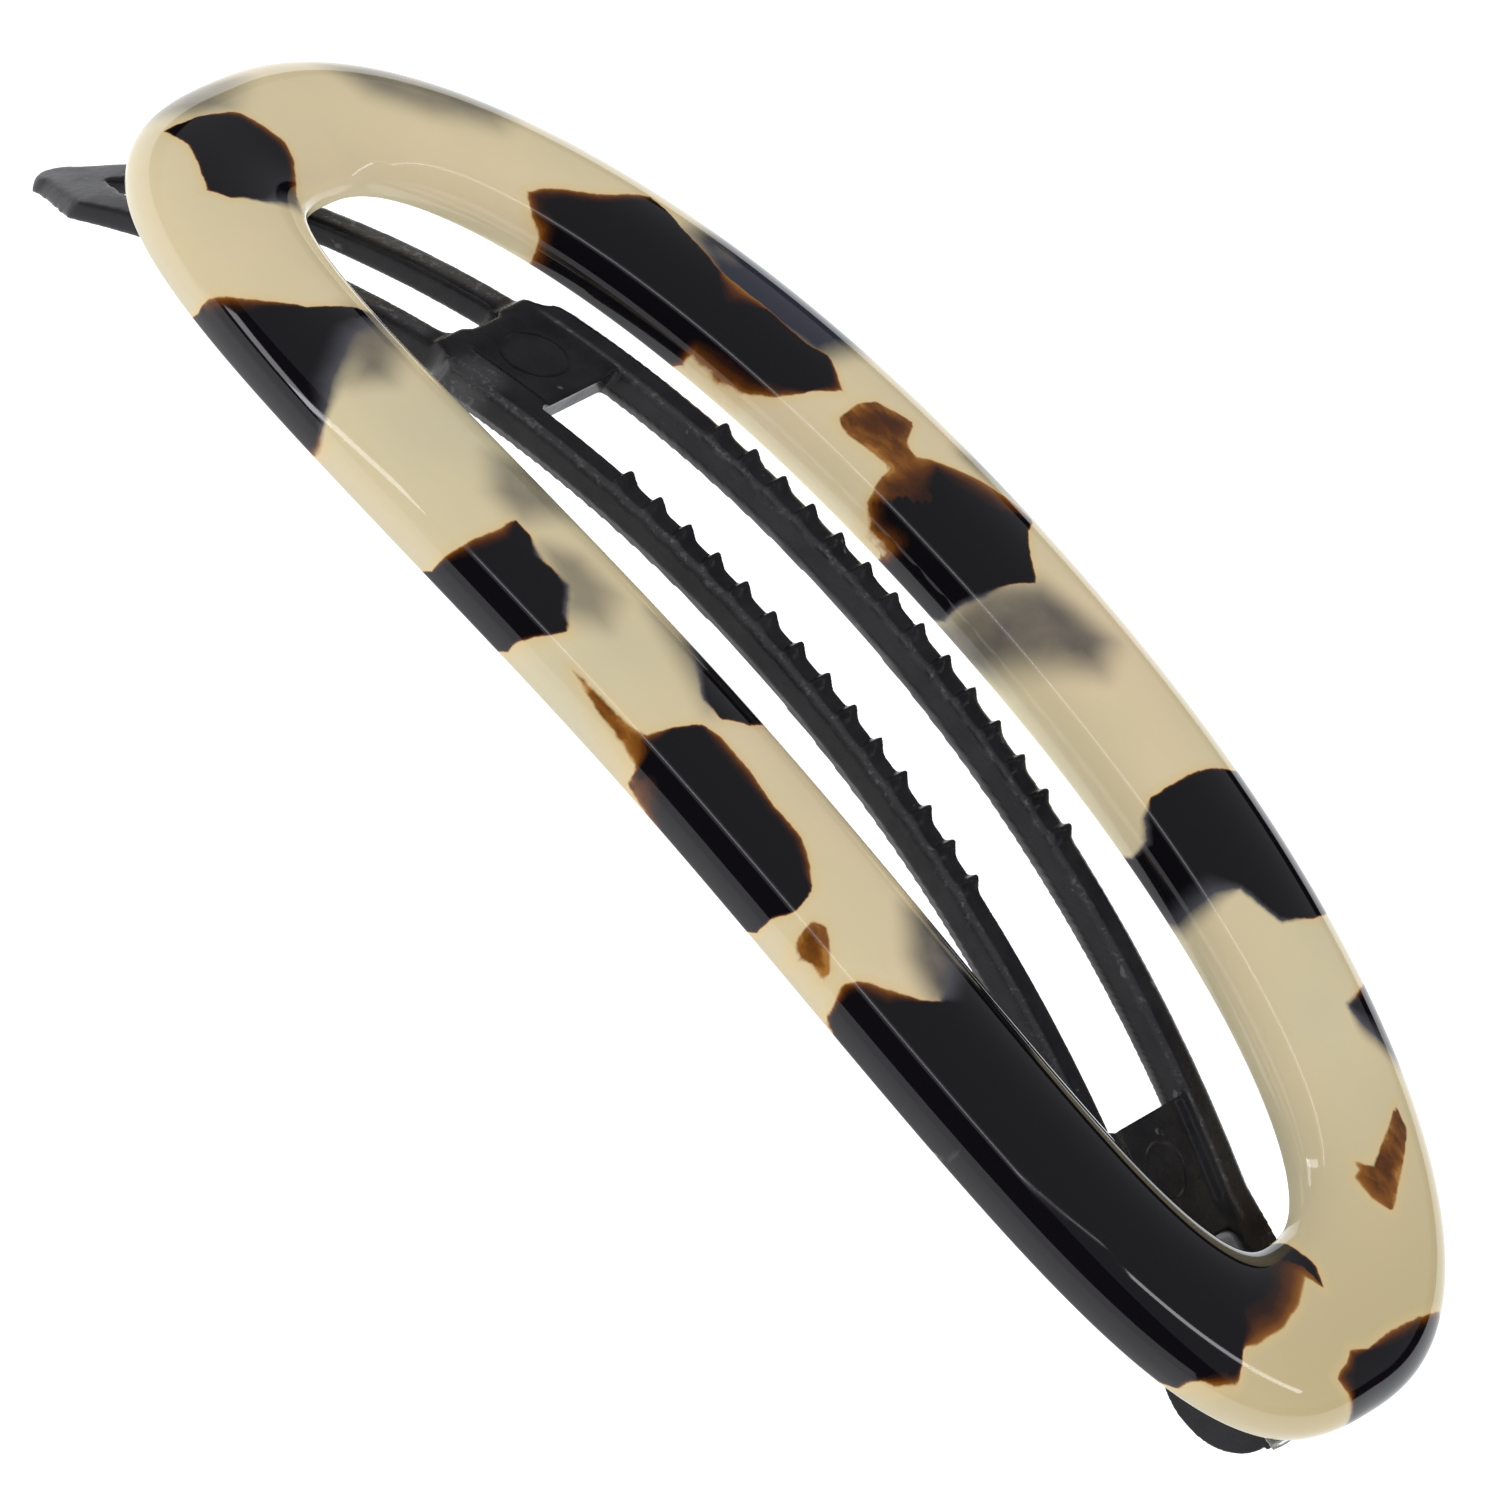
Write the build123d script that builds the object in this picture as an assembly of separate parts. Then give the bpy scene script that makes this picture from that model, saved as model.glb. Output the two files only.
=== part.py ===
"""Open oval hair barrette: a bent acetate ring with a toothed nylon bow hinged underneath.

Frame: origin on the underside of the ring at its crown, +X along the ring towards the hinge,
+Y across it, +Z out of the hair, millimetres.
"""

import math
import os

from build123d import *

reach = 60                     # longer than the part in any direction, for cutting prisms

# ---- ring: an oval sawn from flat sheet, domed, then bent about the Y axis ----
bend_radius = 139.2            # of the underside
ring_thickness = 3.6
outer_oval = (44.96, 16.67, 2.58)  # half length along the sheet, half width, superellipse power
inner_oval = (35.56, 7.70, 2.72)
rim_height = 0.85              # where the flat walls end and the domed top begins
half_oval_sections = 32
dome_points = 9

# ---- toothed length of the bow ----
bow_centre = (-2.12, -67.71)   # X and Z of the axis of its arc
bow_radius = 70.15             # top of the rails
bow_thickness = 1.95
bow_half_width = 4.5
rail_inner = 2.9               # from the middle to a rail's inner wall
shoulder = (-25.2, -23.0)      # where the bow widens from the tongue to the rails
top_arc_end = 31.5             # where the rails leave their arcs for the hinge
under_arc_end = 32.1
toothed_slot = (-18.9, 26.6)
hinge_slot = (32.8, 36.9)
hinge_slot_half = 2.3
hinge_slot_corner = 0.65

# ---- teeth ----
teeth_per_rail = 14
tooth_pitch = 2.047
tooth_height = 0.62
first_tooth_x = -13.1
steep_flank = 0.3
gentle_flank = 0.95
tooth_flat = 0.12
tooth_sink = 0.2
tooth_inset = 0.05             # teeth stop short of the rail's walls

# ---- tongue ----
tongue_centre = (-1.44, -65.66)
tongue_radius = 68.0
tongue_thickness = (1.65, 1.45, 0.85)  # at the root, halfway and at the thumb tab
tongue_half_width = 3.47
tongue_slot_half = 1.87
tongue_root = -22.0            # inside the first crossbar
slot_end = -24.9
slot_corner = 0.8              # chamfer of the slot's two corners
slot_taper = -43.0
slot_apex = -45.9
tab_shoulder = -45.2
tab_tip = -48.1                # where the sides give way to the rounded tip
tab_end = -49.2
tab_half_width = 1.35

# ---- hinge ----
pin_x = 39.0
pin_z = -8.55
pin_radius = 0.6
running_clearance = 0.05
barrel_radius = 1.9
barrel_half_length = 4.45
knuckle_top = (37.5, 0, -8.25)     # where the arms run into the barrel
knuckle_bottom = (38.4, 0, -10.3)
cheek_inner = 4.7
cheek_outer = 5.5
cheek_centre = (39.2, -6.85)
cheek_radius = 3.77
pin_half_length = 5.4
pin_chamfer = 0.12

# ---- glued feet ----
glue_film = 0.2
foot_pad = 0.65
hinge_pad = (35.7, 43.1)
hinge_glue = (35.4, 43.4)
hinge_glue_half = 5.9
catch_pad = (-43.2, -37.2)
catch_pad_half = 3.4
catch_glue = (-43.9, -36.5)
catch_glue_half = 4.1
post_x = (-41.2, -39.0)
post_half_width = 1.35
post_bottom = -13.9
barb_half_width = 1.75
barb_top = -12.6
barb_tip = -13.3


def arc_height(centre, radius, x):
    """Z of the upper side of a circle about the Y direction."""
    return centre[1] + math.sqrt(radius**2 - (x - centre[0]) ** 2)


def arc_edge(centre, radius, x0, x1):
    """A circular arc in the XZ plane between two values of X."""
    middle = (x0 + x1) / 2
    places = [(x, 0, arc_height(centre, radius, x)) for x in (x0, middle, x1)]
    return ThreePointArc(*places)


def below_tongue(x, depth):
    """The place that lies a depth square below the tongue's top at X."""
    z = arc_height(tongue_centre, tongue_radius, x)
    share = depth / tongue_radius
    return (x - share * (x - tongue_centre[0]), 0, z - share * (z - tongue_centre[1]))


def side_prism(edges, half_width):
    """A closed side profile in the XZ plane, extruded both ways along Y."""
    return extrude(Face(Wire(edges)), amount=half_width, dir=(0, 1, 0), both=True)


def plan_prism(face):
    """A plan outline, extruded through the whole height."""
    return extrude(face, amount=reach, dir=(0, 0, 1), both=True)


def block(x0, x1, half_width, bottom=-reach, top=reach):
    """A box between two values of X, centred on Y."""
    return Pos((x0 + x1) / 2, 0, (bottom + top) / 2) * Box(x1 - x0, 2 * half_width, top - bottom)


def y_cylinder(x, z, radius, half_length=reach):
    """A cylinder along Y through (x, z)."""
    return Pos(x, 0, z) * Rot(90, 0, 0) * Cylinder(radius, 2 * half_length)


def bend(sheet_x, y, height):
    """A place on the flat sheet, carried to the bent ring."""
    turn = sheet_x / bend_radius
    radius = bend_radius + height
    return (radius * math.sin(turn), y, radius * math.cos(turn) - bend_radius)


def on_oval(oval, turn):
    """A place on a superellipse of the flat sheet."""
    half_length, half_width, power = oval
    c, s = math.cos(turn), math.sin(turn)
    return (math.copysign(half_length * abs(c) ** (2 / power), c), half_width * abs(s) ** (2 / power))


def band_section(turn):
    """The band's section: straight walls, a half-ellipse dome, and a foot below the underside."""
    outer, inner = on_oval(outer_oval, turn), on_oval(inner_oval, turn)

    def place(across, height):
        share = (1 + across) / 2
        x, y = (i + share * (o - i) for i, o in zip(inner, outer))
        return bend(x, y, height)

    dome = []
    for i in range(dome_points):
        a = math.pi * i / (dome_points - 1)
        dome.append(place(math.cos(a), rim_height + (ring_thickness - rim_height) * math.sin(a)))
    foot_in, foot_out = place(-1, -1), place(1, -1)
    edges = [Line(foot_in, foot_out), Line(foot_out, dome[0]), Spline(*dome), Line(dome[-1], foot_in)]
    return Wire(edges)


def inside_bend(height):
    """Everything within the ring's bend, up to a height above its underside."""
    return y_cylinder(0, -bend_radius, bend_radius + height)


def make_ring():
    """The oval band, half of it lofted and mirrored, with its underside cut to the bend."""
    turns = [math.pi * i / half_oval_sections for i in range(half_oval_sections + 1)]
    half = Solid.make_loft([band_section(turn) for turn in turns])
    whole = half + mirror(half, about=Plane.XZ)
    return whole - inside_bend(0)


def make_teeth():
    """Saw teeth across both rails, steep towards the tongue."""
    tip_radius = bow_radius + tooth_height
    first = math.asin((first_tooth_x - bow_centre[0]) / tip_radius)
    base = bow_radius - tooth_sink
    teeth = []
    for i in range(teeth_per_rail):
        turn = first + i * tooth_pitch / tip_radius
        outline = [
            (-steep_flank, base), (0, tip_radius), (tooth_flat, tip_radius), (gentle_flank, base)
        ]
        corners = []
        for along, out in outline:
            x = bow_centre[0] + out * math.sin(turn) + along * math.cos(turn)
            z = bow_centre[1] + out * math.cos(turn) - along * math.sin(turn)
            corners.append((x, 0, z))
        profile = Face(Wire(Polyline(*corners, close=True).edges()))
        for side in (1, -1):
            width = bow_half_width - rail_inner - 2 * tooth_inset
            prism = extrude(profile, amount=width / 2, dir=(0, 1, 0), both=True)
            teeth.append(Pos(0, side * (rail_inner + bow_half_width) / 2, 0) * prism)
    return teeth


def make_rails():
    """The moulding's full-width length: an arc, then straight arms to the hinge."""
    root, full = shoulder
    top_arc = arc_edge(bow_centre, bow_radius, root, top_arc_end)
    bottom_arc = arc_edge(bow_centre, bow_radius - bow_thickness, under_arc_end, root)
    rails = side_prism([
        top_arc,
        Line(top_arc @ 1, knuckle_top),
        Line(knuckle_top, knuckle_bottom),
        Line(knuckle_bottom, bottom_arc @ 0),
        bottom_arc,
        Line(bottom_arc @ 1, top_arc @ 0),
    ], bow_half_width)
    near, wide = tongue_half_width, bow_half_width
    along = ((1, 0), (1, 0))
    far_side = Spline((root, near), (full, wide), tangents=along)
    near_side = Spline((root, -near), (full, -wide), tangents=along)
    outline = Wire([
        far_side,
        Line((full, wide), (reach, wide)),
        Line((reach, wide), (reach, -wide)),
        Line((reach, -wide), (full, -wide)),
        near_side,
        Line((root, -near), (root, near)),
    ])
    return rails & plan_prism(Face(outline))


def make_tongue():
    """The narrow end: it thins towards a thumb tab with a rounded tip."""
    top = arc_edge(tongue_centre, tongue_radius, tab_end, tongue_root)
    depths = zip((tongue_root, (tongue_root + tab_end) / 2, tab_end), tongue_thickness)
    under = ThreePointArc(*[below_tongue(x, depth) for x, depth in depths])
    tongue = side_prism(
        [top, Line(top @ 1, under @ 0), under, Line(under @ 1, top @ 0)], tongue_half_width
    )
    half, tip = tongue_half_width, tab_half_width
    outline = Wire([
        Line((tongue_root, half), (tab_shoulder, half)),
        Line((tab_shoulder, half), (tab_tip, tip)),
        ThreePointArc((tab_tip, tip), (tab_end, 0), (tab_tip, -tip)),
        Line((tab_tip, -tip), (tab_shoulder, -half)),
        Line((tab_shoulder, -half), (tongue_root, -half)),
        Line((tongue_root, -half), (tongue_root, half)),
    ])
    return tongue & plan_prism(Face(outline))


def make_bow():
    """Toothed rails, crossbars, slotted tongue and hinge barrel as one moulding."""
    slot, corner = tongue_slot_half, slot_corner
    tongue_slot = Polyline(
        (slot_end, slot - corner), (slot_end - corner, slot), (slot_taper, slot), (slot_apex, 0),
        (slot_taper, -slot), (slot_end - corner, -slot), (slot_end, corner - slot), close=True
    )
    start, end = hinge_slot
    hinge_opening = RectangleRounded(end - start, 2 * hinge_slot_half, hinge_slot_corner)
    bow = make_rails() + make_tongue()
    bow = bow - block(*toothed_slot, rail_inner)
    bow = bow - plan_prism(Pos((start + end) / 2, 0, 0) * hinge_opening)
    bow = bow - plan_prism(Face(Wire(tongue_slot.edges())))
    bow = bow + y_cylinder(pin_x, pin_z, barrel_radius, barrel_half_length)
    bow = bow.fuse(*make_teeth())
    return bow - y_cylinder(pin_x, pin_z, pin_radius + running_clearance)


def pad(span, half_width, top, bottom):
    """A rectangular piece of sheet that follows the ring's underside, between two heights."""
    return (inside_bend(top) - inside_bend(bottom)) & block(*span, half_width)


def make_hinge_foot():
    """A curved base and two round cheeks that carry the pin."""
    base = pad(hinge_pad, cheek_outer, -glue_film, -glue_film - foot_pad)
    cheeks = y_cylinder(*cheek_centre, cheek_radius, cheek_outer) - block(0, reach, cheek_inner)
    foot = base + (cheeks & inside_bend(-glue_film))
    return foot - y_cylinder(pin_x, pin_z, pin_radius)


def make_catch_foot():
    """A curved base with a barbed post that stands in the tongue's slot."""
    base = pad(catch_pad, catch_pad_half, -glue_film, -glue_film - foot_pad)
    post = block(*post_x, post_half_width, post_bottom) & inside_bend(-glue_film - foot_pad / 2)
    half, wide = post_half_width, barb_half_width
    barb = Polyline(
        (0, half, barb_top), (0, wide, barb_top), (0, wide, barb_tip), (0, half, post_bottom),
        (0, -half, post_bottom), (0, -wide, barb_tip), (0, -wide, barb_top), (0, -half, barb_top),
        close=True
    )
    head = extrude(Face(Wire(barb.edges())), amount=post_x[1] - post_x[0], dir=(1, 0, 0))
    return base + post + Pos(post_x[0], 0, 0) * head


def make_pin():
    """A plain steel pin with chamfered ends."""
    pin = Cylinder(pin_radius, 2 * pin_half_length)
    pin = chamfer(pin.edges().filter_by(GeomType.CIRCLE), pin_chamfer)
    return Pos(pin_x, 0, pin_z) * Rot(90, 0, 0) * pin


pieces = {
    "acetate_ring": make_ring(),
    "toothed_bow": make_bow(),
    "hinge_foot": make_hinge_foot(),
    "hinge_pin": make_pin(),
    "catch_foot": make_catch_foot(),
    "hinge_adhesive": pad(hinge_glue, hinge_glue_half, 0, -glue_film),
    "catch_adhesive": pad(catch_glue, catch_glue_half, 0, -glue_film),
}

os.makedirs("parts", exist_ok=True)
for node, piece in pieces.items():
    export_step(piece, f"parts/{node}.step")
    print(node, round(piece.volume, 1), "mm3,", len(piece.solids()), "solid")
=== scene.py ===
import math

import bmesh
import bpy
import numpy as np
from mathutils import Matrix, Vector, noise


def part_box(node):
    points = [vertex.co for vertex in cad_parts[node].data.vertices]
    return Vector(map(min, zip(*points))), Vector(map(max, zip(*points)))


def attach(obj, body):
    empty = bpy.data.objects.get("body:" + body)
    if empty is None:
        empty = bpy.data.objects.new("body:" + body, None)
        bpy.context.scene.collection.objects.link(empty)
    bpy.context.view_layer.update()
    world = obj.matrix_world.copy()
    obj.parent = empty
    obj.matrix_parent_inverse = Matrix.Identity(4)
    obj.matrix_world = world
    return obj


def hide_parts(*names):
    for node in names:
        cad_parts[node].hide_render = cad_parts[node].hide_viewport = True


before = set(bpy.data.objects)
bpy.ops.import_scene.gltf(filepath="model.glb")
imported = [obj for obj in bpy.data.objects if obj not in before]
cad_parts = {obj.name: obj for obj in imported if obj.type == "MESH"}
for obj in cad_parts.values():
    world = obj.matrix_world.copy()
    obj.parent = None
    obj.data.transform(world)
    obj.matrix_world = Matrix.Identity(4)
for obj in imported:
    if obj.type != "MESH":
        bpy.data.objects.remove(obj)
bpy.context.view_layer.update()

# ==== The studio ====
# A pale backlit table in an even white surround. A broad dim panel hangs over it, and narrow
# tubes, cards and a small softbox stand round it for the polished band to mirror.
scene = bpy.context.scene
scene.view_settings.view_transform = "Standard"

surround = bpy.data.worlds.new("white_surround")
surround.use_nodes = True
glow = surround.node_tree.nodes["Background"]
glow.inputs["Color"].default_value = (0.96, 0.98, 1.0, 1)
glow.inputs["Strength"].default_value = 0.82
scene.world = surround
surround.cycles_visibility.glossy = False


def hang_light(name, place, aim, along, length, breadth, radiance, diffuse=True):
    """A rectangular lamp at a place, facing a point, its length laid along a direction."""
    lamp = bpy.data.lights.new(name, "AREA")
    lamp.shape = "RECTANGLE"
    lamp.size, lamp.size_y = length, breadth
    lamp.energy = radiance * math.pi * length * breadth
    lamp.color = (0.95, 0.95, 1.0)
    holder = bpy.data.objects.new(name, lamp)
    out = (Vector(place) - Vector(aim)).normalized()
    across = out.cross(Vector(along)).normalized()
    turned = Matrix((across.cross(out), across, out)).transposed().to_4x4()
    holder.matrix_world = Matrix.Translation(place) @ turned
    holder.visible_diffuse = diffuse
    scene.collection.objects.link(holder)


# Each lamp's place, aim, the direction it is laid along, its length, breadth and radiance.
middle, sideways = (0, 0, 0), (1, 0, 0)
hang_light("overhead_panel", (0, 1.5, 0.56), (0, 1.5, 0), sideways, 6.0, 3.6, 0.27, diffuse=False)
hang_light("front_card", (0, -1.2, 0.18), middle, sideways, 4.0, 0.45, 1.1, diffuse=False)
hang_light("front_glow", (-0.03, -0.29, 0.560), middle, sideways, 0.60, 0.08, 0.7, diffuse=False)
hang_light("front_tube", (-0.03, -0.28, 0.556), middle, sideways, 0.56, 0.009, 6.5)
hang_light("left_tube", (-0.45, -0.43, 0.36), middle, (-0.22, -0.205, -0.296), 0.32, 0.050, 6)
hang_light("left_softbox", (-0.57, -0.43, 0.26), middle, (-0.14, 0.10, -0.02), 0.22, 0.10, 4.5)
hang_light("right_bend", (0.26, -0.17, 0.55), middle, (0.04, 0.22, -0.01), 0.24, 0.010, 3)
hang_light("right_tube", (0.44, 0.07, 0.40), middle, (0.38, 0.56, -0.55), 0.46, 0.034, 7)

# The table lies low enough for the bow to swing all the way open above it.
pin_box, bow_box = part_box("hinge_pin"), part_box("toothed_bow")
table_height = pin_box[0].z - (pin_box[1].x - bow_box[0].x)
bm = bmesh.new()
bmesh.ops.create_grid(bm, x_segments=8, y_segments=8, size=3)
bmesh.ops.translate(bm, verts=bm.verts, vec=(0, 0, table_height))
table_mesh = bpy.data.meshes.new("table")
bm.to_mesh(table_mesh)
bm.free()
table = bpy.data.objects.new("table", table_mesh)
scene.collection.objects.link(table)


def start_material(name, **sockets):
    """A new material with one Principled shader, its constant sockets set by name."""
    material = bpy.data.materials.new(name)
    material.use_nodes = True
    shader = material.node_tree.nodes["Principled BSDF"]
    for socket, value in sockets.items():
        shader.inputs[socket.replace("_", " ")].default_value = value
    return material, material.node_tree, shader


def add_node(tree, kind, inputs=(), **settings):
    """A node with its settings made and its inputs, by name or number, linked or given a value."""
    node = tree.nodes.new("ShaderNode" + kind)
    for setting, value in settings.items():
        setattr(node, setting, value)
    for socket, value in dict(inputs).items():
        if isinstance(value, bpy.types.NodeSocket):
            tree.links.new(value, node.inputs[socket])
        else:
            node.inputs[socket].default_value = value
    return node


def cloud(tree, where, scale, detail=3.0, roughness=0.5, stretch=None):
    """Fractal noise on object coordinates, from about 0 to 1; scale is in cells per metre."""
    if stretch:
        where = add_node(tree, "Mapping", {"Vector": where, "Scale": stretch}).outputs[0]
    inputs = {"Vector": where, "Scale": scale, "Detail": detail, "Roughness": roughness}
    return add_node(tree, "TexNoise", inputs).outputs["Fac"]


def maths(tree, operation, a, b=0.0, c=0.0, clamp=False):
    """One sum on two or three values."""
    return add_node(tree, "Math", {0: a, 1: b, 2: c}, operation=operation, use_clamp=clamp).outputs[0]


def ramp(tree, factor, *stops, smooth=False):
    """A colour ramp from (place, colour) stops."""
    node = add_node(tree, "ValToRGB", {"Fac": factor})
    node.color_ramp.interpolation = "EASE" if smooth else "LINEAR"
    marks = node.color_ramp.elements
    while len(marks) < len(stops):
        marks.new(0.5)
    for mark, (place, colour) in zip(marks, stops):
        mark.position = place
        mark.color = (*colour, 1)
    return node.outputs["Color"]


def blend_colours(tree, factor, first, second):
    """Two colours mixed by a factor."""
    node = add_node(tree, "Mix", data_type="RGBA")
    for socket, value in zip((0, 6, 7), (factor, first, second)):
        if isinstance(value, bpy.types.NodeSocket):
            tree.links.new(value, node.inputs[socket])
        else:
            node.inputs[socket].default_value = value
    return node.outputs[2]


paper, tree, shader = start_material(
    "backlit_table", Roughness=0.85, Specular_IOR_Level=0.2, Emission_Strength=0.56
)
where = add_node(tree, "TexCoord").outputs["Object"]
tint = ramp(tree, cloud(tree, where, 3), (0.3, (0.90, 0.91, 0.92)), (0.7, (0.93, 0.93, 0.93)))
tree.links.new(tint, shader.inputs["Base Color"])
tree.links.new(tint, shader.inputs["Emission Color"])
table.data.materials.append(paper)

# ==== The camera ====
# A long lens from in front, above and a little to the right, with the camera turned on its
# axis so that the barrette lies across the frame from corner to corner.
azimuth, elevation, roll = 0.3154895, 0.7233879, 0.6264543
distance = 0.712308
sensor_width, lens_length = 36, 350.448
aim_right, aim_down = -0.00526941515, 0.00551355978   # off the middle, as a share of the distance
back = Vector((
    math.sin(azimuth) * math.cos(elevation),
    -math.cos(azimuth) * math.cos(elevation),
    math.sin(elevation),
))
level = Vector((math.cos(azimuth), math.sin(azimuth), 0))
upright = back.cross(level)
right = level * math.cos(roll) + upright * math.sin(roll)
up = upright * math.cos(roll) - level * math.sin(roll)
away = -back + right * aim_right - up * aim_down
camera_data = bpy.data.cameras.new("camera")
camera_data.sensor_width, camera_data.lens = sensor_width, lens_length
camera_data.clip_start, camera_data.clip_end = 0.01, 20
camera = bpy.data.objects.new("camera", camera_data)
z_axis = -away.normalized()
x_axis = (right - z_axis * right.dot(z_axis)).normalized()
y_axis = z_axis.cross(x_axis)
axes = Matrix((x_axis, y_axis, z_axis)).transposed().to_4x4()
camera.matrix_world = Matrix.Translation(back * distance) @ axes
scene.collection.objects.link(camera)
scene.camera = camera

# ==== The ring ====
# An oval sawn from layered cellulose acetate sheet, tumbled until its upper side is a smooth
# dome, polished, and bent warm over a drum. Lengths here are in millimetres along the flat sheet.
MM = 0.001
bend_radius = 139.2
ring_thickness = 3.6
outer_oval = (44.95, 16.67, 2.58)   # half length, half width, superellipse power
inner_oval = (35.56, 7.70, 2.72)
rim_height = 0.843                  # where the dome meets the side walls
wall_power = 5.5                    # how square the lower half of the section is
ring_steps, section_points = 880, 84


def oval_place(oval, turn):
    """Where a superellipse is met, in the direction that turn has on a round ring."""
    half_length, half_width, power = oval
    c, s = math.cos(turn), math.sin(turn)
    reach = (abs(c) ** power + abs(s) ** power) ** (-1 / power)
    return Vector((half_length * c * reach, half_width * s * reach))


def bend(x, y, height):
    """A place on the flat sheet, carried to the bent ring."""
    angle, radius = x / bend_radius, bend_radius + height
    return Vector((radius * math.sin(angle), y, radius * math.cos(angle) - bend_radius))


def power_curve(value, power):
    """A sine or cosine drawn out, so that a round section turns squarer."""
    return math.copysign(abs(value) ** (2 / power), value)


def add_piece(bm, name, body, node, material):
    """Turns a finished mesh in millimetres into a piece that rides on a body."""
    bmesh.ops.scale(bm, verts=bm.verts, vec=(MM, MM, MM))
    for face in bm.faces:
        face.smooth = True
    mesh = bpy.data.meshes.new(name)
    bm.to_mesh(mesh)
    bm.free()
    piece = bpy.data.objects.new(name, mesh)
    scene.collection.objects.link(piece)
    mesh.materials.append(material)
    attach(piece, body)
    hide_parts(node)
    return piece


# A round section is spun into a plain ring, and each place on it is carried to the real one.
bm = bmesh.new()
spin_radius = 3
quarter_turn = Matrix.Rotation(math.pi / 2, 4, "X")
bmesh.ops.create_circle(
    bm, segments=section_points, radius=1, matrix=Matrix.Translation((spin_radius, 0, 0)) @ quarter_turn,
)
bmesh.ops.spin(
    bm, geom=bm.verts[:] + bm.edges[:], cent=(0, 0, 0), axis=(0, 0, 1), angle=2 * math.pi,
    steps=ring_steps, use_merge=True,
)
sheet_places = []
for vertex in bm.verts:
    turn = math.atan2(vertex.co.y, vertex.co.x)
    across, rise = math.hypot(vertex.co.x, vertex.co.y) - spin_radius, vertex.co.z
    if rise >= 0:
        height = rim_height + (ring_thickness - rim_height) * rise
    else:
        across, height = power_curve(across, wall_power), rim_height * (1 + power_curve(rise, wall_power))
    sheet = oval_place(inner_oval, turn).lerp(oval_place(outer_oval, turn), (1 + across) / 2)
    sheet_places.append((sheet.x, sheet.y, height, across))
    vertex.co = bend(sheet.x, sheet.y, height)
bmesh.ops.recalc_face_normals(bm, faces=bm.faces)

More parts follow.
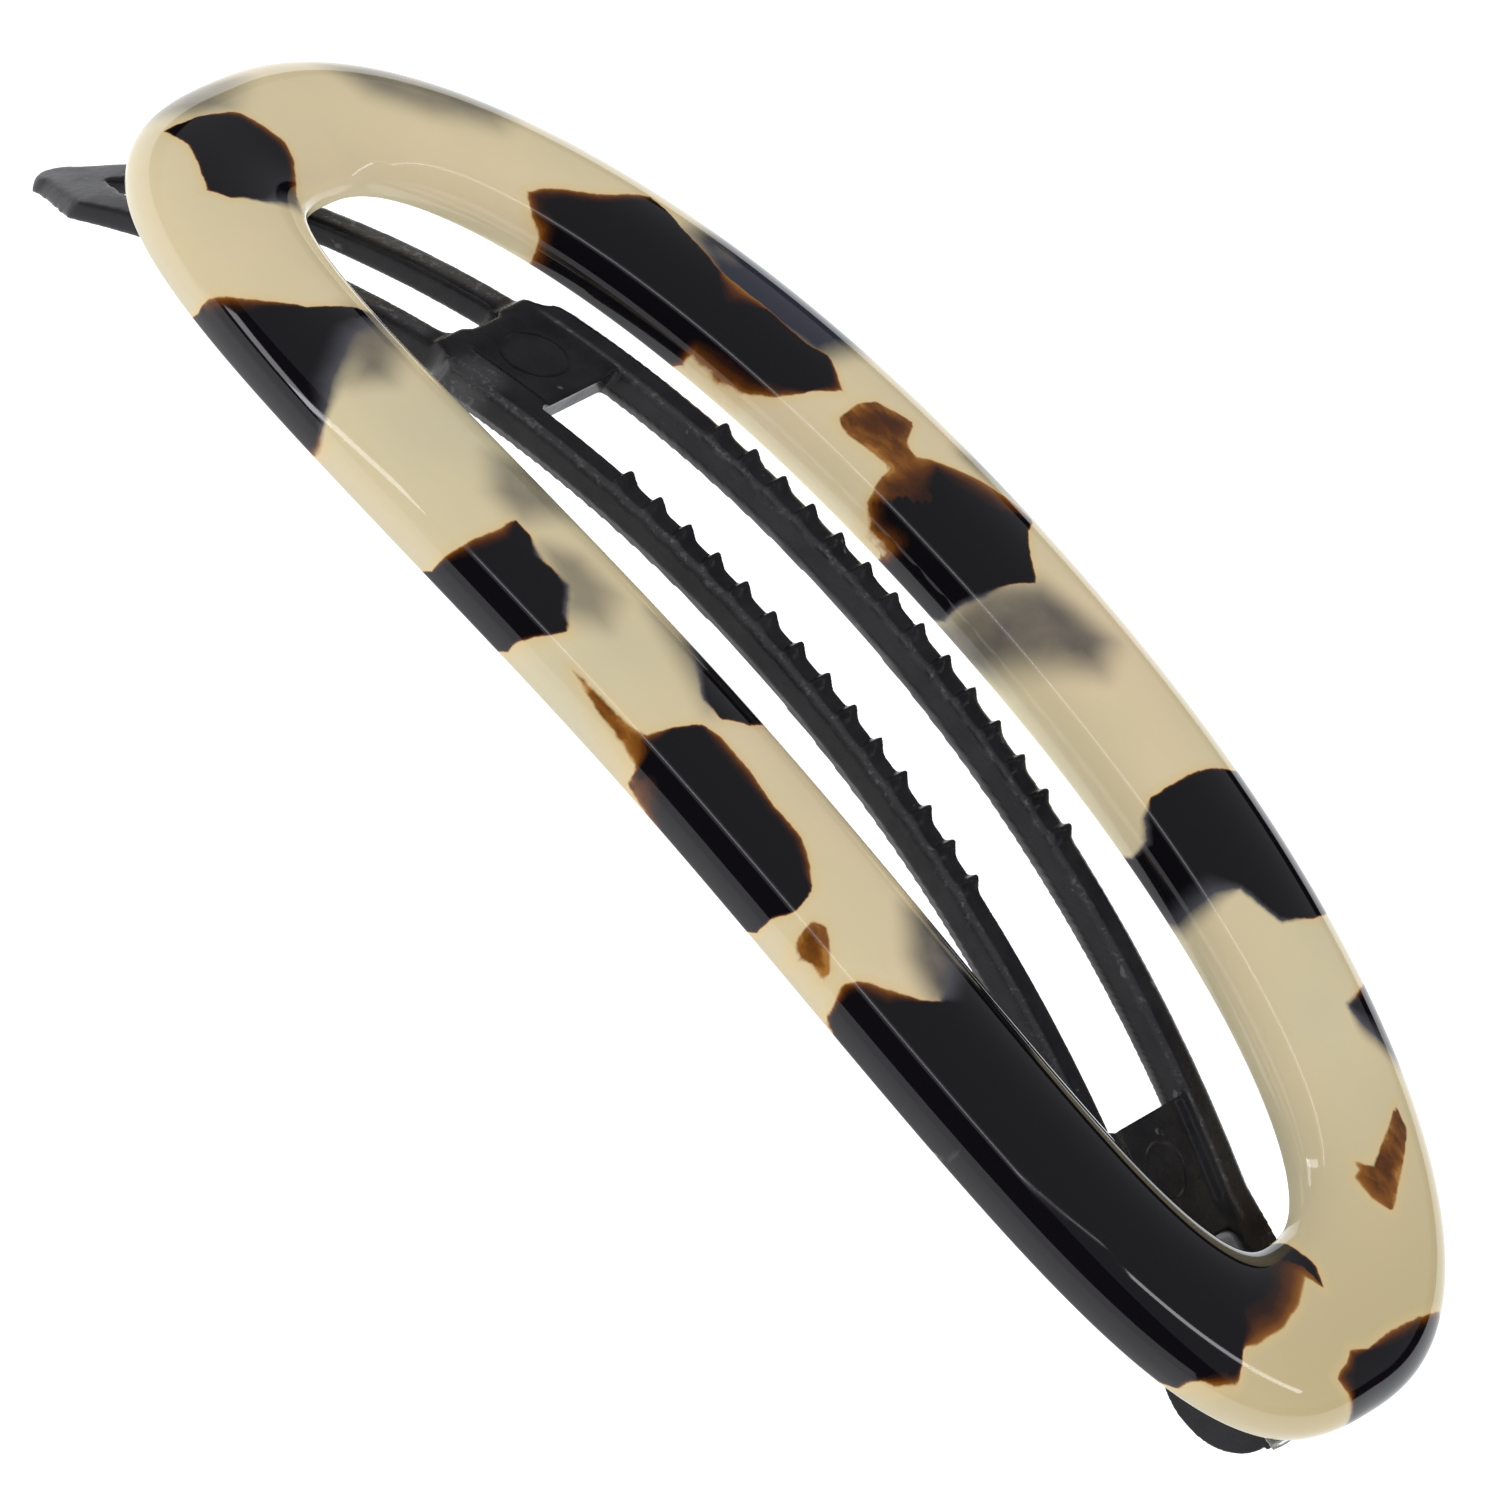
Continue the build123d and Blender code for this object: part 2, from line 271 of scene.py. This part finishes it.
# Dark flakes in the sheet: outlines in sheet X and Y, with the look of the edge at each corner.
# Each look gives the width over which the edge fades, and how far the amber runs into the flake.
edge_looks = {
    "crisp": (0.10, 0.14), "amber": (0.12, 0.62), "deep_amber": (0.16, 1.8),
    "misty": (0.55, 0.10), "smoky": (2.4, 0.02), "brown": (0.14, 4.5),
}
c, a, d, m, s, b = edge_looks   # one letter for each look
flakes = [
    [(-42.2, -5.8, c), (-41.6, -3.7, c), (-40.7, -2.1, a), (-39.7, -1.9, a), (-38.0, -1.6, a),
     (-37.0, -1.8, a), (-35.3, -3.4, a), (-34.7, -4.3, s), (-35.0, -6.6, m), (-36.1, -8.0, c),
     (-37.2, -8.4, c), (-38.5, -7.4, c), (-40.3, -6.2, c), (-41.3, -6.0, c)],
    [(-30.0, -18.0, c), (-32.2, -14.5, c), (-32.6, -13.3, c), (-32.4, -13.1, a), (-30.8, -12.6, a),
     (-28.3, -11.0, c), (-27.0, -8.0, c), (-26.2, -7.0, s), (-25.8, -10.4, s), (-24.4, -13.4, s),
     (-23.0, -15.1, m), (-22.1, -15.8, a), (-21.6, -18.0, a)],
    [(-13.9, -18.0, c), (-13.8, -16.4, c), (-13.4, -15.4, a), (-12.9, -13.6, a), (-12.9, -12.5, c),
     (-11.8, -12.6, c), (-10.8, -13.1, m), (-9.9, -13.1, c), (-8.6, -13.2, m), (-7.6, -14.3, m),
     (-6.6, -14.8, c), (-7.3, -15.7, c), (-8.1, -16.5, c), (-8.3, -18.0, m)],
    [(-5.3, -15.8, b), (-3.5, -15.85, b), (-1.2, -15.75, b), (-0.4, -15.4, a), (0.0, -14.5, c),
     (0.8, -12.9, c), (1.7, -12.6, a), (3.8, -12.6, a), (6.0, -12.9, a), (8.0, -12.8, a),
     (9.3, -13.5, a), (10.4, -14.2, c), (10.7, -15.4, c), (10.3, -16.2, c), (10.1, -18.0, c),
     (6.6, -18.0, a), (5.2, -17.2, c), (3.6, -17.0, c), (1.3, -16.8, a), (0.7, -16.7, c),
     (0.5, -16.4, c), (-1.1, -16.3, b), (-3.4, -16.1, b)],
    [(11.5, -15.1, b), (12.2, -14.8, b), (13.4, -15.4, b), (14.0, -15.7, b), (14.1, -16.0, b),
     (13.2, -16.0, b), (12.5, -16.3, b), (11.8, -16.0, b)],
    [(-3.0, -9.2, s), (-1.6, -10.6, m), (-0.3, -11.7, m), (1.0, -11.8, c), (1.8, -10.3, c),
     (1.9, -9.0, c), (2.4, -6.0, c), (-2.6, -6.0, s)],
    [(14.7, -15.6, a), (15.1, -15.0, a), (16.3, -14.1, a), (17.4, -13.1, c), (18.0, -12.1, c),
     (17.7, -11.4, s), (16.8, -9.9, s), (16.2, -8.1, s), (16.2, -6.0, s), (36.0, 0.0, c),
     (36.7, -0.2, c), (37.4, -0.2, c), (38.7, -0.9, c), (37.8, -1.4, d), (38.8, -3.3, d),
     (39.3, -5.0, d), (39.3, -6.8, d), (39.1, -7.6, c), (39.9, -8.0, c), (40.5, -8.4, a),
     (40.1, -9.3, a), (39.4, -9.9, c), (38.9, -11.1, c), (36.2, -12.7, c), (35.8, -18.0, c),
     (24.8, -18.0, m), (24.3, -15.2, m), (23.9, -15.8, c), (22.7, -16.0, c), (21.1, -16.2, c),
     (19.4, -16.4, c), (17.9, -16.5, c), (16.8, -16.5, c), (15.7, -16.4, c)],
    [(47.0, 6.9, a), (42.5, 6.4, a), (42.1, 4.0, a), (42.0, 1.7, a), (42.1, -0.3, c), (41.7, -1.5, a),
     (42.2, -2.0, a), (42.5, -3.0, a), (43.4, -2.4, a), (44.6, -1.9, m), (47.0, -1.7, m)],
    [(32.9, 10.0, b), (34.2, 9.9, b), (35.6, 8.0, b), (37.2, 5.8, b), (36.1, 5.2, d), (34.9, 5.2, d),
     (34.7, 5.6, d), (34.2, 5.7, d), (34.9, 6.4, b), (34.1, 7.8, b)],
    [(27.0, 14.5, a), (27.2, 12.8, a), (27.7, 10.9, m), (29.0, 11.3, s), (31.1, 12.7, s),
     (32.0, 15.0, s)],
    [(15.4, 18.0, c), (15.0, 14.5, c), (14.5, 12.8, c), (14.3, 11.1, c), (14.2, 9.6, c), (14.2, 8.8, c),
     (14.8, 8.2, m), (15.9, 7.7, m), (16.2, 6.0, c), (19.9, 6.0, s), (19.7, 8.4, s), (20.2, 9.6, m),
     (22.6, 10.4, m), (23.3, 12.4, c), (23.3, 18.0, c)],
    [(-6.4, 9.0, b), (-6.6, 11.0, b), (-5.6, 12.2, a), (-3.8, 13.7, d), (-2.2, 14.8, d), (-0.8, 15.3, c),
     (-0.2, 13.7, c), (0.9, 12.7, c), (2.3, 11.6, c), (1.7, 10.3, c), (1.4, 9.0, m), (0.9, 8.0, m),
     (0.6, 6.0, m), (-3.0, 6.0, a), (-3.4, 7.7, a), (-4.7, 7.7, a), (-5.9, 8.1, a)],
    [(-10.1, 9.7, b), (-10.2, 11.3, b), (-9.8, 12.2, b), (-7.9, 13.1, b), (-7.2, 11.6, b),
     (-6.0, 11.4, b), (-6.3, 9.9, b), (-8.0, 9.7, b), (-9.3, 9.5, b)],
    [(-29.2, 7.1, a), (-28.8, 7.8, a), (-26.9, 9.7, a), (-26.5, 10.5, a), (-25.6, 12.5, a),
     (-24.6, 12.4, c), (-23.0, 12.0, c), (-21.1, 11.6, c), (-19.9, 11.3, c), (-18.4, 11.4, d),
     (-16.9, 11.6, c), (-14.1, 11.7, c), (-13.1, 12.2, c), (-11.1, 11.0, a), (-12.0, 9.6, c),
     (-12.9, 8.4, a), (-14.3, 7.7, a), (-15.7, 7.5, a), (-17.1, 7.4, a), (-17.6, 7.4, a),
     (-18.0, 6.0, c), (-25.8, 5.0, a), (-27.3, 6.4, a), (-28.1, 6.5, a)],
]
# Smoke: flakes that lie deep in the sheet, with how dark they show through the cream.
smoke_width = 2.4
smoke = [
    (1.0, [(-23.0, 12.0), (-21.6, 18.5), (-12.6, 18.5), (-13.1, 11.4), (-17.0, 10.6), (-19.9, 10.4)]),
    (0.8, [(-6.6, 18.0), (-0.9, 18.0), (-1.2, 15.4), (-3.5, 14.6), (-5.3, 14.3)]),
    (0.6, [(-41.5, 5.4), (-40.0, 9.5), (-34.0, 13.0), (-33.0, 9.0), (-35.6, 6.8), (-38.3, 5.2)]),
    (0.62, [(-44.6, -5.0), (-46.0, -1.4), (-43.0, 1.1), (-41.1, -2.1), (-41.9, -3.9)]),
    (0.72, [(-27.3, -8.9), (-26.3, -7.0), (-24.1, -8.2), (-22.6, -11.3), (-23.5, -12.8), (-25.7, -11.1)]),
    (0.62, [(-16.6, -10.3), (-15.4, -7.0), (-12.0, -9.0), (-12.6, -12.3), (-14.7, -12.2)]),
    (0.6, [(-11.1, -12.5), (-9.6, -11.2), (-7.0, -11.2), (-5.9, -13.2), (-7.6, -14.6)]),
    (0.65, [(-5.4, -10.0), (-3.0, -8.6), (-0.6, -9.7), (0.3, -12.0), (-3.0, -10.9)]),
    (0.75, [(0.9, 9.2), (2.4, 11.9), (6.7, 13.2), (7.8, 11.0), (5.8, 8.7), (3.2, 6.0), (0.9, 6.0)]),
    (0.85, [(13.4, -10.1), (14.0, -6.2), (16.2, -6.1), (18.6, -10.8), (17.9, -12.6), (15.4, -12.0)]),
    (0.75, [(24.0, -18.0), (24.2, -15.6), (35.8, -12.9), (36.2, -18.0)]),
]


def flake_fields(places, outline):
    """How far each place lies inside an outline, and the look of the nearest edge."""
    corners = np.array([corner[:2] for corner in outline])
    looks = np.array([edge_looks[corner[2]] if corner[2:] else (0, 0) for corner in outline])
    nearest = np.full(len(places), np.inf)
    look = np.zeros((len(places), 2))
    inside = np.zeros(len(places), bool)
    sides = zip(corners, np.roll(corners, -1, 0), looks, np.roll(looks, -1, 0))
    for start, end, from_look, to_look in sides:
        run = end - start
        share = np.clip((places - start) @ run / (run @ run), 0, 1)[:, None]
        gap = np.hypot(*(places - start - share * run).T)
        closer = gap < nearest
        nearest[closer] = gap[closer]
        look[closer] = (from_look + share * (to_look - from_look))[closer]
        passed = (start[1] > places[:, 1]) != (end[1] > places[:, 1])
        meets = start[0] + (places[:, 1] - start[1]) * run[0] / (run[1] or 1)
        inside ^= passed & (places[:, 0] < meets)
    return np.where(inside, nearest, -nearest), look


# The rims: painted light brightens the inner one, for light that comes through it, above 0 here, and painted
# shade greys the outer one, below 0.
# Below the rim the flakes slant a little through the sheet.
sheet_places = np.array(sheet_places)
heights, across = sheet_places[:, 2], sheet_places[:, 3]
rim = np.clip(1 - (heights - 0.2) / 2.4, 0, 1) ** 2 * np.where(across < 0, 0.9, -0.6)
flake_slant = np.array([0.8, -0.6])
places = sheet_places[:, :2] + flake_slant * np.maximum(rim_height - heights, 0)[:, None]
depth = np.full(len(places), -np.inf)
look = np.zeros((len(places), 2))
for outline in flakes:
    inside, edge = flake_fields(places, outline)
    deeper = inside > depth
    depth[deeper], look[deeper] = inside[deeper], edge[deeper]
haze = np.zeros(len(places))
for density, outline in smoke:
    inside, _ = flake_fields(places, outline)
    share = np.clip(inside / smoke_width + 0.5, 0, 1)
    haze = np.maximum(haze, density * share * share * (3 - 2 * share))

# The acetate: cream with slow warm and greenish changes, smoke that greys it, and dark flakes
# whose thin edges glow amber. Its polish carries faint ripples and hairline scratches.
acetate, tree, shader = start_material("tortoise_acetate", IOR=1.47, Specular_IOR_Level=0.5)
where = add_node(tree, "TexCoord").outputs["Object"]
field_names = ("depth", "fade", "amber", "haze", "rim")
fields = [add_node(tree, "Attribute", attribute_name=n).outputs["Fac"] for n in field_names]
depth_field, fade_field, amber_field, haze_field, rim_field = fields
tears = maths(tree, "MULTIPLY_ADD", cloud(tree, where, 560, 4), 0.30, -0.15)
nicks = maths(tree, "MULTIPLY_ADD", cloud(tree, where, 2100, 3), 0.14, -0.07)
torn_depth = maths(tree, "ADD", depth_field, maths(tree, "ADD", tears, nicks))
fades_in = maths(tree, "DIVIDE", torn_depth, fade_field)
flake_mask = add_node(
    tree, "MapRange", {"Value": fades_in, "From Min": -0.5, "From Max": 0.5},
    interpolation_type="SMOOTHSTEP",
).outputs[0]
amber_swell = maths(tree, "MULTIPLY_ADD", cloud(tree, where, 260), 1.8, 0.1)
amber_width = maths(tree, "MULTIPLY", amber_field, amber_swell)
brown = maths(tree, "MULTIPLY_ADD", amber_field, 0.4, -1.0, clamp=True)
grain = maths(tree, "MULTIPLY_ADD", cloud(tree, where, 330, 4, 0.6, (1, 1.9, 1)), 1.5, -0.62)
amber_share = maths(tree, "DIVIDE", torn_depth, maths(tree, "MAXIMUM", amber_width, 0.02))
amber_share = maths(tree, "MULTIPLY_ADD", brown, grain, amber_share, clamp=True)
flake_colour = ramp(
    tree, amber_share,
    (0.0, (0.38, 0.17, 0.04)), (0.08, (0.23, 0.082, 0.013)), (0.28, (0.100, 0.030, 0.006)),
    (0.60, (0.028, 0.010, 0.006)), (1.0, (0.0050, 0.0042, 0.0056)),
)
warmth = cloud(tree, where, 70, 2, 0.55)
cream = ramp(
    tree, warmth,
    (0.30, (0.65, 0.57, 0.37)), (0.50, (0.71, 0.59, 0.36)), (0.70, (0.75, 0.60, 0.38)), smooth=True,
)
streaks = maths(
    tree, "MULTIPLY_ADD", cloud(tree, where, 240, 4, 0.6, (1, 2.2, 1)), 0.5, -0.15, clamp=True,
)
cream = blend_colours(tree, streaks, cream, (0.60, 0.53, 0.34, 1))
lengthwise = add_node(tree, "SeparateXYZ", {0: where}).outputs["X"]
tan_end = maths(tree, "MULTIPLY_ADD", lengthwise, 60, -1.75, clamp=True)
cream = blend_colours(tree, tan_end, cream, (0.53, 0.43, 0.23, 1))
# Painted light on the inner rim, for light coming through the sheet, and painted shade greying the outer
# rim.
inner_rim = maths(tree, "MULTIPLY", rim_field, 1.0, clamp=True)
cream = blend_colours(tree, inner_rim, cream, (0.82, 0.74, 0.51, 1))
outer_rim = maths(tree, "MULTIPLY", rim_field, -1.0, clamp=True)
cream = blend_colours(tree, outer_rim, cream, (0.46, 0.43, 0.34, 1))
smoke_ripple = maths(tree, "MULTIPLY_ADD", cloud(tree, where, 330, 3), 0.6, 0.75)
smoke_amount = maths(tree, "MULTIPLY", haze_field, smoke_ripple, clamp=True)
smoked = blend_colours(tree, smoke_amount, cream, (0.030, 0.032, 0.046, 1))
halo = add_node(
    tree, "MapRange", {"Value": torn_depth, "From Min": -0.55, "From Max": -0.05, "To Max": 0.55}
).outputs[0]
softness = maths(tree, "MULTIPLY_ADD", fade_field, 3.0, -0.6, clamp=True)
hardness = maths(tree, "SUBTRACT", 1.0, softness)
unsmoked = maths(tree, "MULTIPLY_ADD", haze_field, -2.0, 1.0, clamp=True)
clearness = maths(tree, "MULTIPLY", hardness, unsmoked)
haloed = blend_colours(tree, maths(tree, "MULTIPLY", halo, clearness), smoked, (0.72, 0.52, 0.25, 1))
misted = maths(tree, "MULTIPLY", maths(tree, "MULTIPLY", flake_mask, softness), 2.0, clamp=True)
grey_edge = blend_colours(tree, misted, haloed, (0.070, 0.068, 0.076, 1))
deep = maths(tree, "MULTIPLY_ADD", flake_mask, 2.0, -1.0, clamp=True)
shown = add_node(tree, "Mix", {0: softness, 2: flake_mask, 3: deep}, data_type="FLOAT").outputs[0]
tree.links.new(blend_colours(tree, shown, grey_edge, flake_colour), shader.inputs["Base Color"])
scratches = cloud(tree, where, 900, 2, 0.5, (0.06, 1, 1))
polish = ramp(tree, scratches, (0.35, (0.045,) * 3), (0.62, (0.06,) * 3), (0.75, (0.10,) * 3))
tree.links.new(polish, shader.inputs["Roughness"])
ripple = cloud(tree, where, 160, 2)
bump = add_node(tree, "Bump", {"Height": ripple, "Strength": 0.25, "Distance": 0.00003})
tree.links.new(bump.outputs[0], shader.inputs["Normal"])


def set_attributes(piece, **columns):
    """Writes one number per vertex under each name, for the piece's material to read."""
    for name, values in columns.items():
        attribute = piece.data.attributes.new(name, "FLOAT", "POINT")
        attribute.data.foreach_set("value", np.array(values, np.float32))


ring = add_piece(bm, "ring_band", "ring", "acetate_ring", acetate)
set_attributes(ring, depth=depth, fade=look[:, 0], amber=look[:, 1], haze=haze, rim=rim)

# ==== The bow ====
# One moulding in black nylon: two toothed rails joined by crossbars, a slotted tongue that ends
# in a thumb tab, and the hinge barrel. Mould edges are soft, and ejector pins left round marks.


def soften(bm, verts, rounds):
    """Rounds the edges between some vertices, more with each round."""
    for _ in range(rounds):
        bmesh.ops.smooth_vert(bm, verts=verts, factor=0.5, use_axis_x=True, use_axis_y=True, use_axis_z=True)


def copy_node(node, voxel, smoothing):
    """A CAD node's shape with its edges rounded, as a mesh in millimetres."""
    bm = bmesh.new()
    bm.from_mesh(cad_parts[node].data)
    bmesh.ops.scale(bm, verts=bm.verts, vec=(1 / MM,) * 3)
    bmesh.ops.remove_doubles(bm, verts=bm.verts, dist=0.001)
    mesh = bpy.data.meshes.new(node + "_blank")
    bm.to_mesh(mesh)
    bm.free()
    blank = bpy.data.objects.new(node + "_blank", mesh)
    scene.collection.objects.link(blank)
    fusing = blank.modifiers.new("fuse", "REMESH")
    fusing.mode = "VOXEL"
    fusing.voxel_size = voxel
    evaluated = blank.evaluated_get(bpy.context.evaluated_depsgraph_get())
    fused = bpy.data.meshes.new_from_object(evaluated)
    bpy.data.objects.remove(blank)
    bm = bmesh.new()
    bm.from_mesh(fused)
    soften(bm, bm.verts, smoothing)
    return bm


bm = copy_node("toothed_bow", 0.14, 2)
soften(bm, [v for v in bm.verts if v.co.x < -24.0], 10)

# The rails' upper edges are rounded, the teeth run out before they reach them, the crossbars
# sink between the rails, and a thin flange is left along the lower edge by the mould's parting.
bow_axis = Vector((-2.12, -67.71))   # X and Z of the arc the bow is curved on
bow_radius, bow_thickness = 70.15, 1.95
rail_inner, rail_outer = 2.9, 4.5    # from the middle line, and the rails lie between
opening_left, opening_right = -18.8, 26.5
rails_left, rails_right = -24.6, 33.5
teeth_right = 20
teeth_in_near, teeth_in_far = 0.95, 0.15   # from a rail's near and far edge to full teeth
edge_round = 0.42
sink_depth, sink_side = 0.32, 2.75
flange_height, flange_width = 0.34, 0.09
slot_left, slot_right = 32.2, 37.0   # round the hinge slot
slot_undercut, slot_side = 0.9, 0.8  # how far its end and its sides lean back below


def ease(value):
    """A smooth step from 0 to 1."""
    value = min(max(value, 0), 1)
    return value * value * (3 - 2 * value)


wear, seam, tab = [], [], []
for vertex in bm.verts:
    x, y, z = vertex.co
    spoke = Vector((x, z)) - bow_axis
    radius = spoke.length
    height = radius - bow_radius
    on_rails = ease((x - rails_left) / 1.5) * ease((rails_right - x) / 2)
    beside_opening = opening_left < x < opening_right
    side = abs(y)
    wall_gap = max(rail_outer - side, 0)
    if beside_opening:
        wall_gap = min(wall_gap, max(side - rail_inner, 0))
    near_gap = (y + rail_outer) if y < 0 else (y - rail_inner)
    far_gap = (-rail_inner - y) if y < 0 else (rail_outer - y)
    shift = 0
    if height > 0 and x < teeth_right:
        shift -= height * (1 - min(ease(near_gap / teeth_in_near), ease(far_gap / teeth_in_far)))
    short = max(edge_round - wall_gap, 0)
    fall = edge_round - math.sqrt(edge_round**2 - short**2)
    shift -= fall * ease((height + 1.0) / 1.0) * on_rails
    if not beside_opening:
        bar_start = ease((x - rails_left) / 1.2) if x < 0 else ease((x - 26.0) / 1.0)
        sunk = sink_depth * ease((sink_side - side) / 0.7) * bar_start
        shift -= sunk * ease((height + 0.8) / 0.8) * on_rails
    above_flange = ease((height + bow_thickness - flange_height) / 0.12) * on_rails
    if wall_gap < 0.12:
        middle = (rail_inner + rail_outer) / 2 if beside_opening else 0
        inward = -1 if side > middle else 1
        vertex.co.y += math.copysign(flange_width * above_flange * inward, y)
    slot_depth = min(max(-height / bow_thickness, 0), 1)
    if slot_left < x < slot_right and 2.1 < side < 3.3:
        vertex.co.y += math.copysign(slot_side * slot_depth * ease((3.4 - side) / 0.9), y)
    if x < 33.4 and side < 2.4:
        vertex.co.x -= slot_undercut * ease((x - 30.8) / 2) * slot_depth
        spoke.x = vertex.co.x - bow_axis.x
        radius = spoke.length
    spoke *= 1 + shift / radius
    vertex.co.x, vertex.co.z = bow_axis + spoke
    # Painted highlights: a light line along each rail's near top edge and a light band along the tongue's
    # rails. The round patch by the tongue is real tool marks.
    ridge_highlight = ease(1 - abs(near_gap - 0.16) / 0.18) * ease((height + 0.55) / 0.3) * on_rails
    rough = 0.8 * ease(1.3 - math.hypot(x + 22.2, y + 3.9) / 1.5)
    tongue_highlight = 0.8 * ease((-25.5 - x) / 1) * ease(1 - abs(side - 2.7) / 0.7) * ease((x + 44) / 3)
    wear.append(max(ridge_highlight, rough, tongue_highlight))
    # Painted highlight: a light line along the rails' lower edge, at the flange.
    seam.append(on_rails * (1 - above_flange) * (wall_gap < 0.3))
    tab.append(ease((-33 - x) / 8))

nylon, tree, shader = start_material("black_nylon", IOR=1.53, Specular_IOR_Level=0.12)
where = add_node(tree, "TexCoord").outputs["Object"]
wear_field, seam_field, tab_field = (
    add_node(tree, "Attribute", attribute_name=n).outputs["Fac"] for n in ("wear", "seam", "tab")
)
mottle = cloud(tree, where, 420, 5, 0.62)
fine = cloud(tree, where, 3200, 4, 0.6)
specks = maths(tree, "MULTIPLY_ADD", cloud(tree, where, 2400, 3, 0.7), 9.0, -4.9, clamp=True)
# Painted highlight lines and bands on the rails, with real scuffs and tool marks, lighten the black.
highlight_and_scuff_share = maths(tree, "MULTIPLY", wear_field, maths(tree, "MULTIPLY_ADD", specks, 0.60, 0.34))
# Painted highlight along the flange at the rails' lower edge.
painted_flange_highlight = maths(tree, "MULTIPLY", seam_field, maths(tree, "MULTIPLY_ADD", mottle, 0.9, 0.0, clamp=True))
black = ramp(tree, mottle, (0.35, (0.0095, 0.0086, 0.0098)), (0.70, (0.0190, 0.0175, 0.0195)))
tab_grey = blend_colours(tree, tab_field, black, (0.022, 0.020, 0.023, 1))
highlighted_and_scuffed = blend_colours(tree, highlight_and_scuff_share, tab_grey, (0.135, 0.13, 0.14, 1))
stray = maths(tree, "MULTIPLY_ADD", cloud(tree, where, 900, 2, 0.5), 30.0, -21.6, clamp=True)
dusty = blend_colours(tree, maths(tree, "MULTIPLY", stray, 0.35), highlighted_and_scuffed, (0.20, 0.19, 0.19, 1))
tree.links.new(blend_colours(tree, painted_flange_highlight, dusty, (0.20, 0.19, 0.19, 1)), shader.inputs["Base Color"])
sheen = ramp(tree, mottle, (0.30, (0.18,) * 3), (0.70, (0.36,) * 3))
tree.links.new(sheen, shader.inputs["Roughness"])
plan = add_node(tree, "SeparateXYZ", {0: where})
marks = []
for mark_x, mark_y, mark_radius in ((-0.0219, 0.0003, 0.0017), (0.0291, -0.0002, 0.0013)):
    spot = add_node(tree, "CombineXYZ", {0: plan.outputs["X"], 1: plan.outputs["Y"]}).outputs[0]
    span = add_node(tree, "VectorMath", {0: spot, 1: (mark_x, mark_y, 0)}, operation="DISTANCE")
    off_line = maths(tree, "SUBTRACT", span.outputs["Value"], mark_radius)
    off_line = maths(tree, "ABSOLUTE", off_line)
    marks.append(maths(tree, "MULTIPLY_ADD", off_line, -9000, 1.0, clamp=True))
grooves = maths(tree, "MAXIMUM", *marks)
height = maths(tree, "MULTIPLY_ADD", fine, 0.22, maths(tree, "MULTIPLY_ADD", grooves, -1.6, mottle))
height = maths(tree, "MULTIPLY_ADD", maths(tree, "MULTIPLY", specks, wear_field), 0.5, height)
bump = add_node(tree, "Bump", {"Height": height, "Strength": 0.6, "Distance": 0.00006})
tree.links.new(bump.outputs[0], shader.inputs["Normal"])
moulding = add_piece(bm, "bow_moulding", "bow", "toothed_bow", nylon)
set_attributes(moulding, wear=wear, seam=seam, tab=tab)

# ==== The hinge and catch feet ====
# Two small nylon mouldings glued under the ring's ends: cheeks that carry the pin, and a barbed
# post that the tongue's slot snaps over.
for node, name in (("hinge_foot", "hinge_cheeks"), ("catch_foot", "catch_post")):
    add_piece(copy_node(node, 0.09, 2), name, "ring", node, nylon)

# ==== The hinge pin ====
# A cut length of steel wire, its ends chamfered, pressed through both cheeks.
bm = bmesh.new()
middle = (pin_box[0] + pin_box[1]) / 2 / MM
length, radius = (pin_box[1].y - pin_box[0].y) / MM, (pin_box[1].x - pin_box[0].x) / 2 / MM
bmesh.ops.create_cone(
    bm, cap_ends=True, segments=40, radius1=radius, radius2=radius, depth=length,
    matrix=Matrix.Translation(middle) @ quarter_turn,
)
rims = [e for e in bm.edges if abs(e.calc_face_angle(0)) > 1]
bmesh.ops.bevel(
    bm, geom=rims, offset=0.12, offset_type="OFFSET", affect="EDGES", segments=3, profile=0.5, material=-1,
)
steel, tree, shader = start_material("pin_steel", Metallic=1.0)
where = add_node(tree, "TexCoord").outputs["Object"]
drawn = cloud(tree, where, 3000, 3, 0.6, (1, 0.08, 1))
steel_grey = ramp(tree, drawn, (0.3, (0.42, 0.42, 0.43)), (0.7, (0.62, 0.61, 0.60)))
tree.links.new(steel_grey, shader.inputs["Base Color"])
draw_lines = ramp(tree, drawn, (0.3, (0.22,) * 3), (0.7, (0.38,) * 3))
tree.links.new(draw_lines, shader.inputs["Roughness"])
bump = add_node(tree, "Bump", {"Height": drawn, "Strength": 0.3, "Distance": 0.00002})
tree.links.new(bump.outputs[0], shader.inputs["Normal"])
add_piece(bm, "hinge_pin_wire", "ring", "hinge_pin", steel)

# ==== The adhesive ====
# Clear cement squeezed out in an uneven bead round each foot.
cement, tree, shader = start_material("clear_adhesive", IOR=1.46, Transmission_Weight=0.9)
where = add_node(tree, "TexCoord").outputs["Object"]
bubbles = cloud(tree, where, 1500, 4)
milky = ramp(tree, bubbles, (0.3, (0.86, 0.87, 0.86)), (0.7, (0.96, 0.96, 0.95)))
tree.links.new(milky, shader.inputs["Base Color"])
skin = ramp(tree, bubbles, (0.3, (0.03,) * 3), (0.7, (0.16,) * 3))
tree.links.new(skin, shader.inputs["Roughness"])
bump = add_node(tree, "Bump", {"Height": bubbles, "Strength": 0.4, "Distance": 0.00008})
tree.links.new(bump.outputs[0], shader.inputs["Normal"])
for node, name in (("hinge_adhesive", "hinge_cement"), ("catch_adhesive", "catch_cement")):
    bm = copy_node(node, 0.09, 3)
    for vertex in bm.verts:
        vertex.co.x += noise.noise(vertex.co * 0.55) * 0.21
        vertex.co.y += noise.noise(vertex.co * 0.6 + Vector((9, 4, 2))) * 0.3
    add_piece(bm, name, "ring", node, cement)
